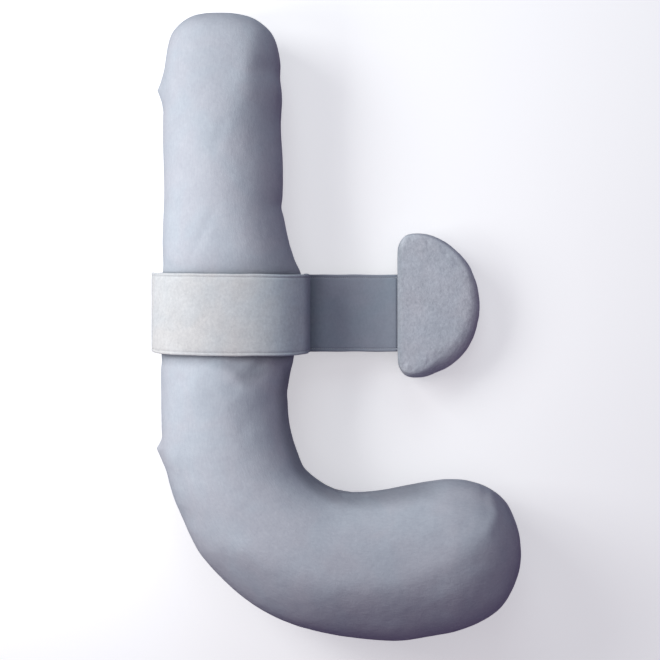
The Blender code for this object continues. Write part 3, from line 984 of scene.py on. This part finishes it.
wedge_face = WEDGE_FACE_X - ORIGIN[0]
cells = wedge.modifiers.new("Even cells", "REMESH")
cells.mode = "VOXEL"
cells.voxel_size = WEDGE_CELL
cells.use_smooth_shade = True
finish_modifiers(wedge)
places, normals = vertex_arrays(wedge)
on_floor = places[:, 2] < WEDGE_LIES_BELOW
at_strap = places[:, 0] < wedge_face + WEDGE_HELD_FROM_FACE
held = np.where(on_floor | at_strap, 1.0, 0.0)
shift = cloth_shift(wedge, held, WEDGE_SPARE_CLOTH)
shift = kept_size(shift, normals, held < 0.5, WEDGE_MOST_MOVE)
shift[held > 0.5] = 0
wedge.data.vertices.foreach_set("co", (places + shift).ravel())
smooth = wedge.modifiers.new("Smooth", "SUBSURF")
smooth.levels = smooth.render_levels = 1
finish_modifiers(wedge)
places, normals = vertex_arrays(wedge)
crease = WRINKLE_HEIGHT * noise_at(places, WRINKLE_SCALE)
crease += DIMPLE_HEIGHT * noise_at(places, DIMPLE_SCALE)
off_seam = np.abs(places[:, 2] - WEDGE_SEAM_HEIGHT)
crease -= SEAM_DEPTH * np.exp(-((off_seam / SEAM_WIDTH) ** 2))
crease *= smooth_step(*CREASES_GROW_ABOVE_FLOOR, places[:, 2])
crease *= smooth_step(*CREASES_GROW_FROM_FACE, places[:, 0] - wedge_face)
places += normals * crease[:, None]
places[:, 2] = np.maximum(places[:, 2], 0)
leaning_wall = wedge_face + WEDGE_LEAN * (WEDGE_THICK - places[:, 2])
places[:, 0] = np.maximum(places[:, 0], leaning_wall)
wedge.data.vertices.foreach_set("co", places.ravel())
wedge.data.shade_smooth()
# Painted shade along the straight side, darkening the rim that the lamps on the left light up
painted_shade = WEDGE_PAINTED_SHADE * np.exp(-(places[:, 0] - leaning_wall) / WEDGE_PAINTED_SHADE_BAND)
add_painted_shade(wedge, np.minimum(1, painted_shade))
print("the wedge has", len(wedge.data.polygons), "faces")

# %% [markdown]
# ## Finishes
#
# All three cloths are brushed: a short nap hides the weave, catches light a little
# differently from place to place, and gives a soft bloom at grazing angles, which is
# what sheen is for. Painted shade darkens the cloth where the points of the mesh carry
# it. The belt's loop is paler and warmer than the pillow, and its right part is painted
# bluer, a painted shade colour. Its strap is a deeper blue, darkened further as painted
# shade, so the belt's finish mixes two dyes.


# %% Shader maths as Python sums
class Flow:
    """A number or colour on its way through a material."""

    def __init__(self, finish, socket):
        self.finish = finish
        self.socket = socket

    def maths(self, operation, other):
        sockets = {0: self, 1: other}
        return self.finish.add("ShaderNodeMath", {"operation": operation}, sockets)

    def __add__(self, other):
        return self.maths("ADD", other)

    __radd__ = __add__

    def __mul__(self, other):
        return self.maths("MULTIPLY", other)

    __rmul__ = __mul__


class Finish:
    """A material whose nodes are added one call at a time."""

    def __init__(self, name):
        self.material = bpy.data.materials.get(name) or bpy.data.materials.new(name)
        self.material.use_nodes = True
        self.tree = self.material.node_tree
        self.tree.nodes.clear()

    def add(self, kind, settings, sockets, output=0):
        """Adds a node, sets its settings first and then its sockets, and gives the flow
        out of one of its outputs."""
        node = self.tree.nodes.new(kind)
        for name, value in settings.items():
            setattr(node, name, value)
        for name, value in sockets.items():
            if isinstance(value, Flow):
                self.tree.links.new(value.socket, node.inputs[name])
            else:
                node.inputs[name].default_value = value
        return Flow(self, node.outputs[output]) if node.outputs else None

    def noise(self, place, scale, detail=2.0, roughness=0.5, distortion=0.0):
        """Noise from 0 to 1 at a place."""
        names = ("Vector", "Scale", "Detail", "Roughness", "Distortion")
        values = (place, scale, detail, roughness, distortion)
        return self.add("ShaderNodeTexNoise", {}, dict(zip(names, values)))

    def mix(self, share, first, second, blend="MIX"):
        """A colour between two colours."""
        settings = {"data_type": "RGBA", "blend_type": blend}
        sockets = {"Factor": share, 6: first, 7: second}
        return self.add("ShaderNodeMix", settings, sockets, output=2)

    def tinted(self, colour, tint):
        """A colour times another."""
        return self.mix(1.0, colour, tint, "MULTIPLY")

    def rescaled(self, value, low, high):
        """0 where a value is low or less, 1 where it is high or more."""
        sockets = {"Value": value, "From Min": low, "From Max": high}
        return self.add("ShaderNodeMapRange", {"clamp": True}, sockets)

    def surfaced(self, sockets):
        """Ends the material with its surface, and gives the material."""
        surface = self.add("ShaderNodeBsdfPrincipled", {}, sockets)
        self.add("ShaderNodeOutputMaterial", {}, {"Surface": surface})
        return self.material


# %% Brushed cloth
Dye = namedtuple("Dye", "pale deep cool warm")
BRUSHED_SIZE = 0.040
FLECK_SIZE = 0.0065
CAST_SIZE = 0.085
PILE_SIZE = 0.0022
BUMP_DISTANCE = 0.0014
SHEEN = 0.05
# How dark painted shade makes the cloth
PAINTED_SHADE_TINT = (0.64, 0.65, 0.67)


def dyed(finish, place, nap, dye):
    """The colour of a napped cloth: pale where the nap lies towards the eye, deep where
    it turns away, and here and there a little cooler or warmer."""
    brushed = finish.noise(place, 1 / BRUSHED_SIZE, 3.0, 0.6)
    flecks = finish.noise(place, 1 / FLECK_SIZE, 2.0, 0.65)
    shade = brushed * 0.30 + flecks * 0.35 + nap * 0.35
    spread = finish.rescaled(shade, 0.36, 0.64)
    colour = finish.mix(spread, (*dye.deep, 1), (*dye.pale, 1))
    cast = finish.rescaled(finish.noise(place, 1 / CAST_SIZE, 2.0, 0.5, 0.6), 0.38, 0.62)
    return finish.tinted(colour, finish.mix(cast, (*dye.cool, 1), (*dye.warm, 1)))


def brushed_cloth(name, dye, nap, crumple_size, bump_strength, on_pillow, strap_dye_and_shade):
    """A napped cloth. The nap lies in short streaks of a length and a width, which follow
    the pillow's own map, and painted shade darkens it here and there. The belt's loop is
    painted bluer towards its strap as painted shade, and the strap has a dye of its own,
    darkened as painted shade."""
    finish = Finish(name)
    place = finish.add("ShaderNodeTexCoord", {}, {}, output="Object")
    flow = place
    if on_pillow:
        flow = finish.add("ShaderNodeUVMap", {"uv_map": "cloth_map"}, {})
    scale = (1 / nap[0], 1 / nap[1], 1 / nap[1])
    combed = finish.add("ShaderNodeMapping", {}, {"Vector": flow, "Scale": scale})
    streaks = finish.noise(combed, 1.0, 2.0, 0.6, 0.3)
    colour = dyed(finish, place, streaks, dye)
    if strap_dye_and_shade:
        # The loop's right part is tinted bluer as painted shade, and past the loop the
        # strap's dye, darkened as painted shade, takes over
        across = finish.add("ShaderNodeSeparateXYZ", {}, {"Vector": place}, output="X")
        shaded_side = finish.tinted(colour, (*BELT_SHADE_SIDE_TINT, 1))
        colour = finish.mix(finish.rescaled(across, *BELT_SHADE_SIDE_FROM_AND_TO), colour, shaded_side)
        on_strap = finish.rescaled(across, *STRAP_DYE_AND_SHADE_STARTS_AND_ENDS)
        colour = finish.mix(on_strap, colour, dyed(finish, place, streaks, strap_dye_and_shade))
    # Painted shade, read from the points of the mesh
    painted_shade = finish.add("ShaderNodeAttribute", {"attribute_name": "painted_shade_amount"}, {}, "Fac")
    colour = finish.mix(painted_shade, colour, finish.tinted(colour, (*PAINTED_SHADE_TINT, 1)))
    crumple = finish.noise(place, 1 / crumple_size, 3.0, 0.55, 0.4)
    pile = finish.noise(place, 1 / PILE_SIZE, 2.0, 0.6)
    height = crumple * 0.45 + streaks * 0.25 + pile * 0.30
    relief = {"Strength": bump_strength, "Distance": BUMP_DISTANCE, "Height": height}
    return finish.surfaced(
        {
            "Base Color": colour,
            "Roughness": 0.95,
            "Specular IOR Level": 0.15,
            "Sheen Weight": SHEEN,
            "Sheen Roughness": 0.6,
            "Normal": finish.add("ShaderNodeBump", {}, relief),
        }
    )


# %% The four finishes
PILLOW_DYE = Dye(
    (0.605, 0.638, 0.680), (0.525, 0.556, 0.603), (0.978, 1.000, 1.010), (1.012, 0.995, 1.000)
)
BELT_DYE = Dye(
    (0.740, 0.745, 0.737), (0.600, 0.607, 0.605), (0.980, 1.000, 1.010), (1.015, 1.000, 0.985)
)
# The strap's deeper blue cloth, painted darker still as painted shade of the leg
STRAP_DYE_AND_SHADE = Dye(
    (0.385, 0.422, 0.474), (0.335, 0.370, 0.422), (0.970, 1.000, 1.010), (1.010, 0.990, 1.000)
)
WEDGE_DYE = Dye(
    (0.805, 0.842, 0.878), (0.615, 0.654, 0.688), (0.980, 1.000, 1.010), (1.010, 0.995, 0.995)
)
# A bluer tint painted on the loop's right part as painted shade, where it runs, and where the
# strap's dye takes over
BELT_SHADE_SIDE_TINT = (0.94, 1.05, 1.10)
BELT_SHADE_SIDE_FROM_AND_TO = (-0.200, -0.095)
STRAP_DYE_AND_SHADE_STARTS_AND_ENDS = (-0.066, -0.052)
THREAD_COLOUR = (0.640, 0.655, 0.670)
FINISHES = (
    (pillow, "pillow_brushed_cloth", PILLOW_DYE, (0.014, 0.0032), 0.011, 0.7, True, None),
    (belt, "belt_brushed_cloth", BELT_DYE, (0.0045, 0.0070), 0.010, 0.5, False, STRAP_DYE_AND_SHADE),
    (wedge, "wedge_brushed_cloth", WEDGE_DYE, (0.0045, 0.0060), 0.007, 1.0, False, None),
)
for piece, *finish_of_piece in FINISHES:
    piece.data.materials.append(brushed_cloth(*finish_of_piece))
thread_surface = {"Roughness": 0.7, "Specular IOR Level": 0.3}
Finish("belt_thread").surfaced({"Base Color": (*THREAD_COLOUR, 1), **thread_surface})
print("finishes:", [name for _, name, *_ in FINISHES])

# %% [markdown]
# ## Riding, and what each piece stands for
#
# Nothing on the pillow turns or slides on a hard joint, so every piece rides on the one
# body, `root`. Each cloth takes the place of the solid that it was shaped after, and the
# stitches go with the belt.

# %% Tie the pieces to the frame
for piece, node, slot in (
    (pillow, "j_pillow", "pillow_cloth"),
    (belt, "belt", "belt_cloth"),
    (wedge, "belly_wedge", "wedge_cloth"),
):
    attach(piece, "root")
    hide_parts(node)
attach(stitches, "root")

# %% [markdown]
# ## Floor, light and camera
#
# The camera looks straight down from a little over two metres. The light has to come
# from the left, because the photograph's right sides are dark. Two soft boxes stand there,
# a small near one and a large far one, so that the light falls off from left to right.
# A third shines from the top edge and a weak fourth from overhead, and the world adds a
# faint violet that shows in the shadows alone. A real sweep of paper curves up behind the
# object. Here a flat floor and a round wall do, and the wall is hidden from the light.

# %% The floor and the wall behind it
FLOOR_SIZE = 14
FLOOR_DROP = 0.0005
FLOOR_GLOW = 0.45
BACKDROP_RADIUS = 6.9
BACKDROP_HEIGHT = 6.0
BACKDROP_GLOW = 0.50


def papered(name, glow):
    """Names the object just added and gives it a pale paper that glows a little, and
    throws no light on the pillow."""
    piece = bpy.context.object
    piece.name = name
    paper = {
        "Base Color": (0.88, 0.88, 0.88, 1),
        "Roughness": 0.9,
        "Specular IOR Level": 0.0,
        "Emission Color": (1.0, 1.0, 1.0, 1),
        "Emission Strength": glow,
    }
    piece.data.materials.append(Finish(name + "_paper").surfaced(paper))
    piece.visible_diffuse = False
    return piece


bpy.ops.mesh.primitive_plane_add(size=FLOOR_SIZE, location=(0, 0, -FLOOR_DROP))
floor = papered("floor", FLOOR_GLOW)
bpy.ops.mesh.primitive_cylinder_add(
    vertices=96,
    radius=BACKDROP_RADIUS,
    depth=BACKDROP_HEIGHT,
    end_fill_type="NOTHING",
    location=(0, 0, BACKDROP_HEIGHT / 2),
)
backdrop = papered("backdrop", BACKDROP_GLOW)
backdrop.visible_glossy = False
backdrop.visible_shadow = False

# %% The lights
LIT_PLACE = (-0.1, 0.1, 0.1)
Light = namedtuple("Light", "name place size power colour")
LIGHTS = [
    Light("near_window", (-1.165, 0.10, 0.846), 0.6, 8.2, (0.98, 1.0, 1.0)),
    Light("far_window", (-1.80, 1.08, 1.48), 1.0, 21.5, (0.98, 1.0, 1.0)),
    Light("from_the_top_edge", (0.0, 2.2, 1.6), 1.5, 13, (0.85, 1.0, 1.02)),
    Light("overhead", (0.0, 0.2, 3.0), 2.5, 13.5, (1.0, 1.0, 1.0)),
]
WORLD_COLOUR = (0.83, 0.54, 1.28)
WORLD_STRENGTH = 0.078


def soft_light(name, place, size, power, colour):
    """A square soft box at a place, turned towards the pillow."""
    light = bpy.data.lights.new(name, "AREA")
    light.shape = "SQUARE"
    light.size = size
    light.energy = power
    light.color = colour
    lamp = placed(name, light)
    lamp.location = place
    aim = Vector(LIT_PLACE) - Vector(place)
    lamp.rotation_euler = aim.to_track_quat("-Z", "Y").to_euler()


for light in LIGHTS:
    soft_light(*light)
world = bpy.data.worlds.new("studio")
world.use_nodes = True
background = world.node_tree.nodes["Background"]
background.inputs["Color"].default_value = (*WORLD_COLOUR, 1)
background.inputs["Strength"].default_value = WORLD_STRENGTH
bpy.context.scene.world = world
print("lit by", [light.name for light in LIGHTS])

# %% The camera
CAMERA_HEIGHT = 2.30
CAMERA_X = 0.2222
CAMERA_Y = 0.6376
MEASURED_HEIGHT = 0.11
WIDTH_SEEN = 1.3708
SENSOR_WIDTH = 36
camera_data = bpy.data.cameras.new("camera")
camera_data.sensor_width = SENSOR_WIDTH
camera_data.lens = SENSOR_WIDTH * (CAMERA_HEIGHT - MEASURED_HEIGHT) / WIDTH_SEEN
camera = placed("camera", camera_data)
camera.location = (CAMERA_X - ORIGIN[0], CAMERA_Y - ORIGIN[1], CAMERA_HEIGHT)
bpy.context.scene.camera = camera
bpy.context.scene.view_settings.view_transform = "Standard"
